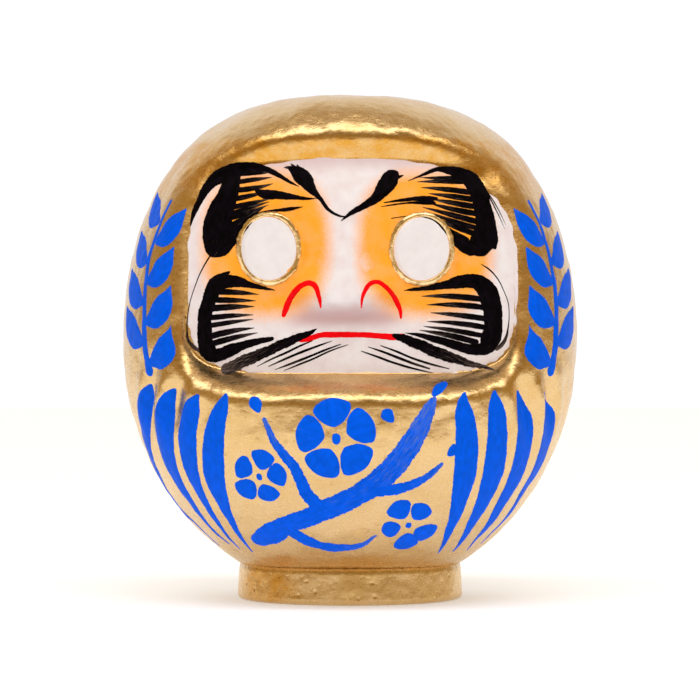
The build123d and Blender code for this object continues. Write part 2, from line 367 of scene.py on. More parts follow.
def stroke_mesh(points, lift, dry, seed, round_body=False, ragged=0.05, base=0.16):
    """One paint stroke as a closed low mound.  It runs along the control points, each
    (across, height, width); across is millimetres on the face and degrees round the
    body.  On the face it starts from base, just above the white paint.  It is full in the middle and thin at its edges, both edges wander a
    little, and its underside lies inside the wall.  Returns points, faces, uv and
    dryness."""
    rng = np.random.default_rng(seed)
    points = np.asarray(points, float).copy()
    if round_body:
        points[:, 0] *= 1.75
    at, cap, length = stroke_samples(points, 0.8)
    line = curve_through(points, at)
    if round_body:
        line[:, 0] /= 1.75
        centre, normal = surface_and_normal(line[:, 0], line[:, 1])
        way = np.gradient(centre, axis=0)
        side = np.cross(way, normal)
    else:
        way = np.gradient(line[:, :2], axis=0)
        side = np.stack([way[:, 1], -way[:, 0]], axis=-1)
    side /= np.maximum(np.linalg.norm(side, axis=1, keepdims=True), 1e-9)
    half = np.maximum(line[:, 2] / 2.0 * cap, 0.02)
    phase = rng.uniform(0.0, 6.28, 6)
    wander = [sum(np.sin(at * f + phase[i + 3 * s]) for i, f in enumerate((0.7, 1.9, 4.3))) for s in (0, 1)]
    shift = ragged * np.minimum(half, 3.0) ** 0.5
    across = np.concatenate([np.linspace(-1.0, 1.0, 9), np.linspace(0.98, -0.98, 4)])
    edge = np.where(across[None, :] < 0.0, (half + shift * wander[0] * cap)[:, None], (half + shift * wander[1] * cap)[:, None])
    offset = across[None, :] * np.maximum(edge, 0.02)
    if round_body:
        reach = centre[:, None, :] + side[:, None, :] * offset[..., None]
        high = np.clip(reach[..., 2], NECK_Z, HEIGHT)
        front = reach[..., 1] <= 0.0
        x_share = np.abs(reach[..., 0] / side_radius(high)) ** (SECTION_POWER / 2.0)
        y_share = np.abs(reach[..., 1] / depth_radius(high, front)) ** (SECTION_POWER / 2.0)
        angle = np.degrees(np.arctan2(x_share * np.sign(reach[..., 0]), y_share * -np.sign(reach[..., 1])))
    else:
        reach = line[:, None, :2] + side[:, None, :] * offset[..., None]
        high = reach[..., 1]
        angle = angle_at(reach[..., 0], high)
    surface, outward = surface_and_normal(angle, high)
    crown = np.where(np.arange(13) < 9, lift * (1.0 - 0.75 * across**4), -0.5)
    thin = np.clip(half / 1.2, 0.35, 1.0)
    height = np.where(np.arange(13)[None, :] < 9, crown[None, :] * thin[:, None] + base * (not round_body), crown[None, :])
    mound = surface + outward * height[..., None]
    rows = len(at)
    faces = [grid_faces(rows, 13, wrap=True), [list(range(13))[::-1]], [list(range((rows - 1) * 13, rows * 13))]]
    uv = np.stack([np.broadcast_to(at[:, None], offset.shape), offset], axis=-1).reshape(-1, 2)
    uv = uv + rng.uniform(0.0, 200.0, 2)
    worn = dry[0] + (dry[1] - dry[0]) * at / length
    return mound.reshape(-1, 3), faces, uv, np.repeat(worn, 13)


def paint_piece(name, strokes, material):
    """Joins the meshes of several strokes into one piece."""
    all_points, all_faces, all_uv, all_dry, count = [], [], [], [], 0
    for points, faces, uv, dry in strokes:
        all_points.append(points)
        all_faces += [np.asarray(block) + count for block in faces]
        all_uv.append(uv)
        all_dry.append(dry)
        count += len(points)
    layers = {"dry": np.concatenate(all_dry)}
    return make_piece(name, np.concatenate(all_points), all_faces, material, layers, np.concatenate(all_uv), sharp=75.0)


def hair(x0, z0, x1, z1, width, bow):
    """Control points of a flicked hair: full from its root, which lies inside the thick
    stroke it springs from, and pointed at its tip."""
    t = np.array([-0.14, 0.2, 0.6, 0.88, 1.14])
    fullness = np.array([1.1, 1.2, 1.0, 0.6, 0.1])
    lift = bow * 4.0 * t * (1.0 - t)
    return np.stack([x0 + (x1 - x0) * t, z0 + (z1 - z0) * t + lift, width * fullness], axis=-1)


# Painted lines of the face: control points are (x, z, width) in millimetres.
BROW_LEFT = [
    [(-71.8, 171.5, 0.4), (-70.0, 177.3, 2.2), (-67.2, 183.1, 3.1), (-63.8, 189.1, 4.5), (-58.8, 193.5, 6.3),
     (-53.0, 196.1, 6.7), (-47.0, 197.5, 5.4), (-41.6, 197.7, 3.6), (-36.6, 196.3, 2.7), (-31.2, 193.5, 2.0),
     (-26.8, 190.7, 1.3), (-22.6, 188.5, 0.2)],
    [(-51.6, 196.7, 5.4), (-53.2, 189.7, 8.1), (-55.4, 182.9, 9.8), (-58.0, 177.1, 11.6), (-59.0, 171.3, 13.4),
     (-58.6, 165.9, 15.2), (-60.0, 161.9, 12.5), (-61.4, 159.3, 8.1), (-62.2, 157.5, 3.6)],
    [(-55.8, 162.9, 7.2), (-51.4, 167.3, 6.2), (-47.2, 171.3, 4.5), (-43.6, 174.7, 2.7), (-39.2, 176.9, 1.3),
     (-34.6, 177.7, 1.1), (-28.8, 178.3, 1.8), (-24.4, 178.9, 1.3), (-20.8, 179.5, 0.2)],
    [(-42.8, 187.9, 0.7), (-39.6, 185.7, 3.6), (-36.6, 185.1, 4.2), (-32.4, 184.9, 4.0), (-28.4, 184.3, 3.1),
     (-24.0, 183.7, 2.2), (-19.6, 183.1, 1.3), (-14.6, 183.1, 0.2)],
    [(-27.6, 197.3, 1.3), (-25.4, 196.3, 4.0), (-22.8, 194.3, 6.7), (-20.0, 191.7, 7.1), (-17.8, 188.3, 4.9),
     (-15.6, 185.7, 3.1), (-12.8, 182.5, 1.8), (-10.2, 178.9, 1.6), (-7.6, 176.7, 1.3), (-4.4, 175.3, 0.9),
     (-1.4, 174.9, 0.5)],
]
BROW_LEFT_HAIRS = [
    (-49.2, 194.7, -34.8, 195.5, 1.8, -0.1), (-49.6, 191.1, -36.6, 192.7, 1.9, 0.0),
    (-50.0, 187.3, -36.2, 189.5, 2.1, -0.4), (-51.0, 183.3, -39.2, 185.7, 2.0, 0.0),
    (-51.8, 179.7, -37.4, 182.7, 1.9, 0.0), (-52.2, 177.1, -37.8, 181.3, 1.7, 0.0),
    (-52.6, 174.9, -38.2, 179.7, 1.9, -0.2), (-52.2, 172.1, -39.2, 178.9, 2.0, -0.4),
    (-54.0, 169.1, -44.6, 174.3, 2.5, -0.4), (-24.6, 196.7, -29.0, 197.3, 1.6, 0.2),
    (-24.4, 196.7, -26.2, 198.9, 1.4, 0.0), (-22.4, 196.3, -23.6, 198.5, 1.2, 0.0),
]
BROW_RIGHT = [
    [(25.8, 191.1, 0.2), (30.4, 193.1, 0.9), (34.8, 195.1, 1.6), (39.4, 196.7, 2.2), (44.8, 196.1, 4.0),
     (49.8, 194.7, 5.8), (53.8, 192.1, 7.6), (56.8, 187.5, 8.1), (58.6, 182.1, 8.1), (60.0, 176.3, 8.5),
     (60.8, 170.5, 9.8), (60.0, 165.1, 12.5), (59.0, 161.1, 11.6), (60.0, 157.9, 5.4)],
    [(18.2, 174.3, 0.4), (22.2, 174.9, 0.4), (27.6, 175.5, 0.5), (32.8, 175.1, 0.7), (37.4, 173.7, 1.1),
     (41.0, 171.1, 2.0), (44.6, 167.9, 3.6), (48.2, 164.5, 5.4), (52.6, 161.5, 6.3), (57.2, 160.7, 6.3)],
    [(15.0, 181.3, 0.4), (22.2, 182.3, 1.3), (29.0, 183.1, 2.0), (35.6, 183.1, 2.7), (39.2, 183.3, 1.3)],
    [(13.8, 179.5, 0.3), (20.0, 180.5, 0.7), (26.6, 181.3, 0.9), (33.4, 181.3, 1.6), (38.2, 181.3, 1.3)],
    [(21.4, 195.3, 2.2), (18.8, 193.1, 7.1), (16.4, 189.7, 7.6), (13.8, 186.1, 6.2), (10.6, 182.7, 4.2),
     (6.6, 180.1, 3.1), (2.2, 177.7, 2.4), (-0.8, 175.7, 1.6), (-4.0, 173.1, 0.4)],
    [(20.4, 192.5, 2.2), (23.8, 193.7, 0.4)],
]
BROW_RIGHT_HAIRS = [
    (49.2, 193.1, 33.4, 192.7, 1.6, -0.2), (52.0, 191.1, 32.6, 190.9, 2.0, 0.2),
    (53.6, 186.3, 34.4, 188.1, 2.2, 0.2), (54.6, 183.1, 37.4, 185.3, 2.2, 0.1),
    (55.4, 179.9, 38.2, 182.7, 2.2, 0.0), (55.8, 176.9, 37.4, 180.7, 2.2, -0.3),
    (56.4, 173.3, 35.2, 178.7, 2.2, 0.0), (56.8, 170.3, 35.6, 176.5, 1.9, -0.1),
    (55.4, 167.9, 38.2, 173.9, 2.2, 0.0), (51.8, 165.1, 42.8, 169.7, 2.2, 0.0),
    (61.0, 186.9, 68.4, 172.3, 0.5, 0.4), (62.2, 185.7, 69.0, 173.7, 0.4, 0.6),
]
BEARD_LEFT = [
    [(-53.6, 151.1, 0.7), (-56.8, 148.5, 4.0), (-60.4, 145.5, 6.3), (-61.8, 141.5, 6.7), (-63.4, 136.9, 6.3),
     (-64.8, 132.5, 6.3), (-65.2, 127.9, 6.3), (-65.0, 123.5, 6.7), (-64.6, 119.1, 7.2), (-63.6, 115.1, 7.6),
     (-62.6, 112.3, 4.5)],
    [(-65.8, 113.3, 3.6), (-61.8, 113.3, 5.8), (-57.2, 114.1, 5.8), (-52.6, 116.1, 5.4), (-48.2, 117.7, 4.0),
     (-43.6, 119.1, 3.3), (-39.2, 120.1, 2.7), (-35.6, 120.7, 2.0), (-33.8, 121.3, 1.3)],
    [(-60.8, 145.5, 5.4), (-55.4, 146.5, 6.3), (-49.6, 146.3, 4.7), (-44.6, 144.9, 2.9), (-40.0, 143.9, 1.9),
     (-36.4, 143.1, 1.3), (-33.4, 142.5, 0.3)],
]
BEARD_LEFT_HAIRS = [
    (-58.2, 141.9, -42.8, 140.9, 2.2, 0.2), (-60.8, 138.3, -44.2, 137.9, 2.2, 0.0),
    (-61.8, 134.5, -45.0, 135.3, 2.5, 0.2), (-62.6, 130.3, -45.4, 131.5, 2.1, 0.2),
    (-63.2, 126.7, -45.4, 129.3, 1.9, 0.1), (-62.6, 121.9, -45.0, 125.5, 2.4, 0.4),
    (-62.2, 118.5, -43.6, 123.1, 2.3, 0.3),
]
BEARD_RIGHT = [
    [(49.0, 147.5, 2.2), (53.6, 147.1, 5.4), (58.2, 145.5, 7.6), (61.4, 141.9, 9.0), (63.2, 136.9, 9.0),
     (64.0, 131.1, 8.5), (64.0, 125.3, 8.5), (62.6, 120.3, 9.0), (60.0, 116.7, 6.3), (57.2, 115.5, 3.6)],
    [(59.0, 145.9, 6.3), (53.6, 146.7, 6.3), (49.0, 146.3, 5.8), (44.6, 145.3, 4.5), (40.0, 144.5, 3.3),
     (35.6, 143.7, 2.7), (31.2, 143.1, 1.8), (27.2, 142.7, 1.3), (24.0, 142.3, 0.2)],
    [(24.4, 123.5, 0.2), (28.8, 122.9, 1.3), (33.4, 121.9, 2.4), (37.8, 120.7, 3.1), (42.4, 119.5, 3.6),
     (46.8, 118.1, 4.0), (51.4, 116.7, 4.5), (55.8, 116.1, 4.9), (60.8, 116.7, 5.8), (64.6, 119.9, 5.8)],
]
BEARD_RIGHT_HAIRS = [
    (56.4, 138.9, 34.8, 139.9, 2.3, 0.4), (58.2, 135.1, 37.0, 136.1, 2.2, 0.4),
    (60.4, 129.9, 38.8, 132.3, 2.2, 0.2), (60.0, 126.1, 37.4, 128.5, 2.1, 0.4),
    (57.2, 122.7, 35.6, 126.1, 2.0, 0.2), (54.6, 119.9, 33.8, 124.3, 2.3, 0.3),
]
MOUSTACHE = [
    [(-14.6, 125.3, 0.3), (-17.8, 123.5, 2.2), (-22.2, 121.7, 3.3), (-26.6, 119.9, 4.0), (-31.2, 117.9, 4.4),
     (-35.6, 115.9, 4.4), (-40.0, 113.9, 4.9), (-44.6, 112.1, 5.3), (-49.0, 110.1, 5.4), (-53.6, 107.9, 5.4),
     (-57.6, 106.7, 4.0)],
    [(16.4, 122.5, 0.9), (21.4, 121.7, 3.1), (27.6, 119.5, 4.4), (33.4, 117.1, 4.9), (38.8, 114.7, 5.1),
     (43.6, 113.1, 4.9), (48.2, 111.5, 4.0), (52.6, 110.1, 3.1), (57.2, 108.9, 2.2), (61.4, 108.1, 1.3),
     (64.4, 106.9, 0.4)],
]
WHISKERS = [
    [(-16.4, 120.1, 0.4), (-22.2, 117.7, 0.9), (-28.8, 114.5, 1.0), (-34.8, 111.9, 0.8), (-41.4, 108.5, 0.3)],
    [(-8.0, 119.9, 0.3), (-14.2, 117.7, 0.9), (-22.2, 114.7, 1.1), (-28.8, 111.9, 1.0), (-36.4, 108.5, 0.4)],
    [(-4.0, 118.5, 0.4), (-11.0, 115.9, 0.9), (-17.8, 113.1, 1.0), (-24.4, 110.5, 1.1), (-33.4, 107.1, 0.3)],
    [(-0.8, 118.3, 0.3), (-8.8, 115.5, 0.7), (-15.6, 112.3, 0.8), (-23.0, 109.3, 0.8), (-29.4, 106.7, 0.3)],
    [(13.4, 117.9, 0.4), (20.0, 115.5, 0.9), (27.6, 112.3, 1.0), (35.6, 109.7, 1.0), (44.2, 107.5, 0.4)],
    [(8.0, 117.3, 0.3), (13.4, 115.5, 0.9), (20.8, 112.7, 1.2), (27.6, 110.1, 1.2), (35.6, 107.5, 0.7)],
    [(4.8, 115.5, 0.3), (11.0, 113.3, 0.9), (18.6, 110.5, 1.0), (25.8, 108.3, 1.0), (37.4, 105.5, 0.4)],
    [(-62.6, 157.9, 0.7), (-65.4, 153.5, 0.6), (-67.8, 148.7, 0.5), (-70.0, 142.9, 0.4), (-71.8, 137.1, 0.4),
     (-73.0, 130.3, 0.4), (-73.2, 124.9, 0.7), (-72.4, 119.9, 1.3), (-70.0, 117.3, 1.8), (-66.8, 115.1, 1.3)],
    [(58.6, 154.3, 0.4), (62.6, 151.7, 0.7), (66.4, 147.3, 0.5), (69.0, 142.3, 0.4), (71.0, 136.9, 0.4),
     (71.4, 131.7, 0.4), (71.0, 126.3, 0.6), (70.0, 121.7, 1.3), (68.2, 118.5, 1.8), (65.0, 115.9, 1.8)],
]
RED_LINES = [
    [(-22.6, 119.7, 0.7), (-19.6, 120.3, 1.8), (-16.4, 121.5, 2.4), (-12.8, 122.5, 2.4), (-7.6, 122.7, 2.6),
     (0.0, 122.7, 2.4), (8.8, 122.5, 2.4), (15.6, 121.9, 2.6), (20.4, 121.7, 2.7), (24.4, 122.7, 1.2)],
    [(-29.8, 130.5, 1.8), (-28.4, 134.5, 2.6), (-26.6, 138.5, 2.6), (-24.0, 142.1, 2.6), (-20.8, 144.7, 2.4),
     (-17.6, 145.5, 2.4), (-15.4, 144.1, 2.4), (-14.2, 141.1, 2.0), (-13.2, 137.5, 1.5), (-13.0, 134.5, 0.5)],
    [(5.0, 134.5, 0.5), (5.2, 137.9, 1.2), (6.6, 141.9, 1.8), (8.8, 145.1, 2.0), (12.0, 145.9, 1.9),
     (15.4, 144.1, 2.0), (18.2, 141.1, 2.0), (20.8, 137.1, 2.3), (22.2, 133.7, 1.8), (22.6, 129.7, 0.9)],
]
# Robe stripes: control points are (degrees round the body, z, width in millimetres).
STRIPES_LEFT = [
    [(-58.6, 100.1, 1.6), (-61.0, 96.3, 8.0), (-65.0, 89.8, 12.0), (-69.0, 82.3, 13.0), (-73.5, 73.8, 13.5),
     (-76.5, 65.3, 13.0), (-78.5, 55.3, 11.0), (-78.0, 46.3, 7.0), (-74.0, 36.0, 3.2), (-69.0, 25.8, 0.8)],
    [(-47.4, 98.5, 1.2), (-50.2, 93.9, 8.2), (-53.3, 86.7, 13.2), (-56.2, 79.4, 15.2), (-58.5, 72.1, 15.0),
     (-59.4, 64.8, 13.4), (-59.8, 57.5, 10.2), (-59.4, 50.1, 7.6), (-58.0, 38.5, 3.6), (-55.5, 27.0, 0.8)],
    [(-38.0, 96.3, 1.2), (-41.1, 90.5, 9.1), (-43.9, 83.4, 11.0), (-47.0, 72.5, 12.0), (-48.2, 65.3, 11.0),
     (-49.2, 58.0, 9.3), (-49.6, 50.7, 6.6), (-49.9, 43.3, 4.8), (-50.4, 34.0, 2.6), (-51.0, 25.0, 0.8)],
    [(-29.0, 96.8, 1.2), (-31.3, 90.7, 6.8), (-33.8, 83.6, 9.6), (-36.8, 72.9, 12.0), (-38.4, 65.7, 12.5),
     (-39.9, 58.4, 12.0), (-40.8, 51.1, 9.5), (-41.5, 43.8, 6.5), (-42.3, 34.0, 3.4), (-43.5, 24.2, 0.8)],
]
STRIPES_RIGHT = [
    [(26.2, 97.3, 1.2), (27.0, 90.8, 7.4), (28.9, 80.2, 10.7), (31.0, 65.9, 12.1), (32.0, 58.7, 11.8),
     (32.8, 51.5, 9.9), (33.9, 44.1, 7.3), (35.3, 34.5, 4.2), (38.6, 23.5, 0.8)],
    [(35.7, 98.1, 1.2), (37.1, 90.6, 7.9), (39.1, 79.9, 11.2), (41.5, 65.6, 12.6), (42.8, 58.3, 12.6),
     (43.5, 51.0, 10.8), (43.8, 43.7, 8.6), (44.6, 34.5, 4.8), (48.0, 23.5, 0.8)],
    [(45.1, 97.6, 1.2), (47.1, 90.4, 7.4), (50.6, 79.6, 12.6), (52.0, 72.3, 13.0), (53.2, 65.1, 12.8),
     (54.2, 57.7, 12.2), (54.5, 50.4, 10.2), (54.6, 43.1, 7.8), (55.2, 34.5, 4.4), (58.5, 24.0, 0.8)],
    [(55.2, 97.4, 1.4), (58.7, 90.1, 7.9), (62.6, 82.8, 12.5), (65.6, 71.8, 13.5), (66.8, 64.4, 12.8),
     (66.8, 57.0, 10.5), (66.2, 49.8, 6.8), (66.0, 38.0, 3.4), (68.0, 26.0, 0.8)],
]
# The branch on the belly: (x, z, width) strokes, then flowers as (x, z, reach, turn).
BRANCH = [
    [(-43.0, 29.3, 5.2), (-36.0, 33.3, 12.3), (-24.0, 39.8, 10.4), (-10.0, 45.3, 11.1), (4.0, 52.3, 10.4),
     (17.0, 62.3, 11.0), (27.0, 75.3, 9.5), (34.0, 88.3, 6.5), (37.0, 95.3, 2.6)],
    [(-12.0, 44.3, 6.5), (-19.0, 52.3, 6.0), (-24.0, 63.3, 4.9), (-33.0, 75.3, 3.6), (-38.0, 86.3, 1.8)],
    [(8.0, 54.3, 6.0), (20.0, 54.3, 5.5), (31.0, 58.3, 4.2), (41.0, 66.3, 1.8)],
    [(-30.0, 36.3, 6.5), (-18.0, 30.3, 7.3), (-4.0, 27.3, 6.0), (6.0, 29.3, 2.9), (12.0, 33.3, 1.3)],
]
FLOWERS = [(-6.0, 77.0, 21.5, 8.0), (26.0, 38.0, 14.5, 30.0), (-40.0, 60.0, 14.5, -10.0)]
BUDS = [(36.0, 95.3, 7.0, 70.0), (-40.0, 88.3, 7.5, 110.0), (43.0, 69.3, 6.5, 40.0), (19.0, 84.3, 7.0, 130.0)]

# ---------------------------------------------------------------- materials


def add_node(tree, kind, settings=None, **inputs):
    """New shader node; inputs are sockets to link or values to set, by socket name."""
    item = tree.nodes.new(kind)
    for key, value in (settings or {}).items():
        setattr(item, key, value)
    for key, value in inputs.items():
        socket = item.inputs[key.replace("_", " ")]
        if isinstance(value, bpy.types.NodeSocket):
            tree.links.new(value, socket)
        else:
            socket.default_value = value
    return item


def mix_colour(tree, factor, first, second):
    """Colour that goes from first to second with factor."""
    item = add_node(tree, "ShaderNodeMix", {"data_type": "RGBA", "clamp_factor": True})
    for socket, value in zip((item.inputs[0], item.inputs[6], item.inputs[7]), (factor, first, second)):
        if isinstance(value, bpy.types.NodeSocket):
            tree.links.new(value, socket)
        else:
            socket.default_value = value if isinstance(value, float) else (*value, 1.0)
    return item.outputs[2]


def ramp(tree, factor, *stops):
    """Number that follows (place, value) stops."""
    item = tree.nodes.new("ShaderNodeValToRGB")
    tree.links.new(factor, item.inputs[0])
    while len(item.color_ramp.elements) < len(stops):
        item.color_ramp.elements.new(0.5)
    for element, (place, value) in zip(item.color_ramp.elements, stops):
        element.position = place
        element.color = (value, value, value, 1.0)
    return item.outputs[0]


def noise(tree, vector, size_mm, detail=3.0, roughness=0.55):
    """Noise whose lumps are about size_mm across."""
    scale = 1.0 / (size_mm * MM)
    return add_node(tree, "ShaderNodeTexNoise", None, Vector=vector, Scale=scale, Detail=detail, Roughness=roughness).outputs[0]


def stretched(tree, vector, scale):
    """The same coordinates, stretched."""
    return add_node(tree, "ShaderNodeMapping", None, Vector=vector, Scale=scale).outputs[0]


def bumps(tree, *layers):
    """Normal from several (height, strength, distance in millimetres) layers."""
    normal = None
    for height, strength, distance in layers:
        item = add_node(tree, "ShaderNodeBump", None, Height=height, Strength=strength, Distance=distance * MM)
        if normal is not None:
            tree.links.new(normal, item.inputs["Normal"])
        normal = item.outputs[0]
    return normal


def surface(name, **values):
    """Material with one Principled shader; returns it, its node tree, the shader and the
    object coordinates."""
    material = bpy.data.materials.new(name)
    material.use_nodes = True
    tree = material.node_tree
    tree.nodes.clear()
    shader = add_node(tree, "ShaderNodeBsdfPrincipled", None, **values)
    output = tree.nodes.new("ShaderNodeOutputMaterial")
    tree.links.new(shader.outputs[0], output.inputs[0])
    place = tree.nodes.new("ShaderNodeTexCoord").outputs["Object"]
    return material, tree, shader, place


def gold_material(name, light, deep, stain, stain_share, relief):
    """Gold paint brushed over pulp: metal with soft brown mottling, short brush streaks,
    fine grain, a few worn specks and small dents as strong as relief."""
    material, tree, shader, place = surface(name, Metallic=1.0)
    mottle = noise(tree, place, 16.0, 5.0, 0.6)
    streak = noise(tree, stretched(tree, place, (0.45, 1.0, 1.3)), 1.7, 5.0, 0.65)
    grain = noise(tree, place, 0.6, 2.0)
    colour = mix_colour(tree, ramp(tree, mottle, (0.42, 0.0), (0.72, 0.8)), light, deep)
    worn = ramp(tree, noise(tree, place, 3.4, 6.0, 0.72), (stain_share, 0.0), (stain_share + 0.1, 0.6))
    colour = mix_colour(tree, worn, colour, stain)
    # Orange where the mesh's layer asks for it: airbrush overspray round the face on the body, and a painted reflection
    # on the front left of the foot.
    orange_and_reflection_amount = add_node(tree, "ShaderNodeMath", {"operation": "MULTIPLY"})
    tree.links.new(ramp(tree, noise(tree, place, 9.0, 5.0, 0.7), (0.4, 0.32), (0.62, 0.95)), orange_and_reflection_amount.inputs[0])
    tree.links.new(add_node(tree, "ShaderNodeAttribute", {"attribute_name": "orange_and_reflection"}).outputs["Fac"], orange_and_reflection_amount.inputs[1])
    colour = mix_colour(tree, orange_and_reflection_amount.outputs[0], colour, (0.68, 0.34, 0.05))
    tree.links.new(colour, shader.inputs["Base Color"])
    tree.links.new(ramp(tree, streak, (0.3, 0.22), (0.7, 0.36)), shader.inputs["Roughness"])
    lumps = noise(tree, place, 7.0, 4.0, 0.55)
    normal = bumps(tree, (lumps, relief, 1.0), (streak, 0.4, 0.16), (grain, 0.25, 0.05))
    tree.links.new(normal, shader.inputs["Normal"])
    return material


def face_material(skin, airbrush, blush_and_shade):
    """Matt white face paint with orange airbrushed round the eyes, and painted shade in a cooler pink
    under the nose and under the hood's brim; the amounts of orange and of painted shade are stored on the mesh."""
    material, tree, shader, place = surface("face_paint", Specular_IOR_Level=0.25)
    orange_and_reflection = add_node(tree, "ShaderNodeAttribute", {"attribute_name": "orange_and_reflection"}).outputs["Fac"]
    painted_shade = add_node(tree, "ShaderNodeAttribute", {"attribute_name": "painted_shade"}).outputs["Fac"]
    speck = noise(tree, place, 0.45, 2.0)
    cloud = noise(tree, place, 9.0, 4.0)
    grainy = add_node(tree, "ShaderNodeMath", {"operation": "MULTIPLY_ADD"})
    tree.links.new(ramp(tree, speck, (0.3, 0.0), (0.7, 1.0)), grainy.inputs[0])
    grainy.inputs[1].default_value = 0.3
    tree.links.new(orange_and_reflection, grainy.inputs[2])
    amount = add_node(tree, "ShaderNodeMath", {"operation": "MULTIPLY"})
    tree.links.new(ramp(tree, grainy.outputs[0], (0.27, 0.0), (1.0, 1.0)), amount.inputs[0])
    tree.links.new(ramp(tree, cloud, (0.3, 0.9), (0.6, 1.0)), amount.inputs[1])
    pale = mix_colour(tree, ramp(tree, cloud, (0.35, 0.0), (0.7, 0.35)), skin, blush_and_shade)
    # Painted shade: the cooler pink laid under the nose and under the hood's brim.
    pale = mix_colour(tree, painted_shade, pale, blush_and_shade)
    tree.links.new(mix_colour(tree, amount.outputs[0], pale, airbrush), shader.inputs["Base Color"])
    tree.links.new(ramp(tree, cloud, (0.3, 0.42), (0.7, 0.55)), shader.inputs["Roughness"])
    normal = bumps(tree, (noise(tree, place, 5.0), 0.3, 0.3), (noise(tree, place, 0.9, 4.0), 0.3, 0.05))
    tree.links.new(normal, shader.inputs["Normal"])
    return material


def paint_material(name, full, second, bare, roughness):
    """Brush paint: bristle streaks along each stroke, pooled darker and thinner parts, and
    more of the bare ground between bristles where the mesh says the brush ran dry."""
    material, tree, shader, place = surface(name, Specular_IOR_Level=0.03)
    brush = add_node(tree, "ShaderNodeUVMap", {"uv_map": "brush"}).outputs[0]
    dry = add_node(tree, "ShaderNodeAttribute", {"attribute_name": "dry"}).outputs["Fac"]
    bristle = add_node(tree, "ShaderNodeTexNoise", None, Vector=stretched(tree, brush, (0.16, 3.2, 1.0)), Scale=1.0, Detail=4.0, Roughness=0.6).outputs[0]
    pool = add_node(tree, "ShaderNodeTexNoise", None, Vector=stretched(tree, brush, (0.22, 0.4, 1.0)), Scale=1.0, Detail=3.0).outputs[0]
    colour = mix_colour(tree, ramp(tree, pool, (0.36, 0.0), (0.7, 1.0)), full, second)
    gap = add_node(tree, "ShaderNodeMath", {"operation": "ADD"})
    tree.links.new(bristle, gap.inputs[0])
    tree.links.new(dry, gap.inputs[1])
    colour = mix_colour(tree, ramp(tree, gap.outputs[0], (0.74, 0.0), (0.92, 1.0)), colour, bare)
    tree.links.new(colour, shader.inputs["Base Color"])
    tree.links.new(ramp(tree, bristle, (0.3, roughness - 0.08), (0.7, roughness + 0.1)), shader.inputs["Roughness"])
    normal = bumps(tree, (bristle, 0.3, 0.08), (noise(tree, place, 1.1, 3.0), 0.25, 0.06))
    tree.links.new(normal, shader.inputs["Normal"])
    return material


def plain_material(name, light, dark, size_mm, roughness, fibre=(1.0, 1.0, 1.0)):
    """Unpainted paper, card or clay: two tones in stretched lumps with grain."""
    material, tree, shader, place = surface(name, Roughness=roughness)
    body = noise(tree, stretched(tree, place, fibre), size_mm, 5.0, 0.65)
    tree.links.new(mix_colour(tree, ramp(tree, body, (0.35, 0.0), (0.68, 1.0)), light, dark), shader.inputs["Base Color"])
    normal = bumps(tree, (body, 0.5, 0.3), (noise(tree, place, 0.5, 3.0), 0.4, 0.08))
    tree.links.new(normal, shader.inputs["Normal"])
    return material


# ---------------------------------------------------------------- settings


class DollColours(bpy.types.PropertyGroup):
    """Colours of the doll, in linear light."""

    gold: bpy.props.FloatVectorProperty(name="Gold", description="Lit gold paint", subtype="COLOR", default=(0.75, 0.53, 0.265))
    deep_gold: bpy.props.FloatVectorProperty(name="Deep gold", description="Thick or shaded gold paint", subtype="COLOR", default=(0.70, 0.46, 0.18))
    stain: bpy.props.FloatVectorProperty(name="Stain", description="Brown patches in the gold", subtype="COLOR", default=(0.40, 0.20, 0.05))
    skin: bpy.props.FloatVectorProperty(name="Skin", description="White face paint", subtype="COLOR", default=(0.82, 0.80, 0.87))
    # Cooler pink: random tone in the white, and the colour of the painted shade under the nose and under the hood's
    # brim.
    blush_and_shade: bpy.props.FloatVectorProperty(name="Blush", description="Cooler pink in the white", subtype="COLOR", default=(0.62, 0.44, 0.48))
    airbrush: bpy.props.FloatVectorProperty(name="Airbrush", description="Orange round the eyes", subtype="COLOR", default=(1.0, 0.385, 0.022))
    ink: bpy.props.FloatVectorProperty(name="Ink", description="Black brush paint", subtype="COLOR", default=(0.0006, 0.0004, 0.0006))
    red: bpy.props.FloatVectorProperty(name="Red", description="Mouth and nose lines", subtype="COLOR", default=(0.92, 0.003, 0.008))
    blue: bpy.props.FloatVectorProperty(name="Blue", description="Robe stripes and ornaments", subtype="COLOR", default=(0.0003, 0.113, 0.94))


class DollSizes(bpy.types.PropertyGroup):
    """Paint thicknesses and mesh fineness, in millimetres where not a count."""

    face_lift: bpy.props.FloatProperty(name="Face paint", description="Thickness of the white face paint", default=0.12)
    line_lift: bpy.props.FloatProperty(name="Line paint", description="Thickness of black and red lines", default=0.26)
    robe_lift: bpy.props.FloatProperty(name="Robe paint", description="Thickness of blue paint on the gold", default=0.22)
    front_columns: bpy.props.IntProperty(name="Front columns", description="Quarter of the mesh columns of the front half", default=82)
    back_columns: bpy.props.IntProperty(name="Back columns", description="Quarter of the mesh columns of the back half", default=60)


# ---------------------------------------------------------------- operators


class BuildStep(bpy.types.Operator):
    """Common parts of the build steps"""

    bl_idname = "daruma.step"
    bl_label = "Daruma build step"

    def look(self, context):
        return context.scene.daruma_colours, context.scene.daruma_sizes


class BuildBody(BuildStep):
    """Builds the front and back halves of the papier-mache body"""

    bl_idname = "daruma.build_body"
    bl_label = "Build body"

    def execute(self, context):
        colours, sizes = self.look(context)
        gold = gold_material("gold_paper", colours.gold, colours.deep_gold, colours.stain, 0.62, 0.5)
        front = half_body("body_front", 0.0, sizes.front_columns // 2 * 2, gold)
        back = half_body("body_back", 180.0, sizes.back_columns // 2 * 2, gold)
        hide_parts("front_shell")
        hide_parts("back_shell")
        return {"FINISHED"}


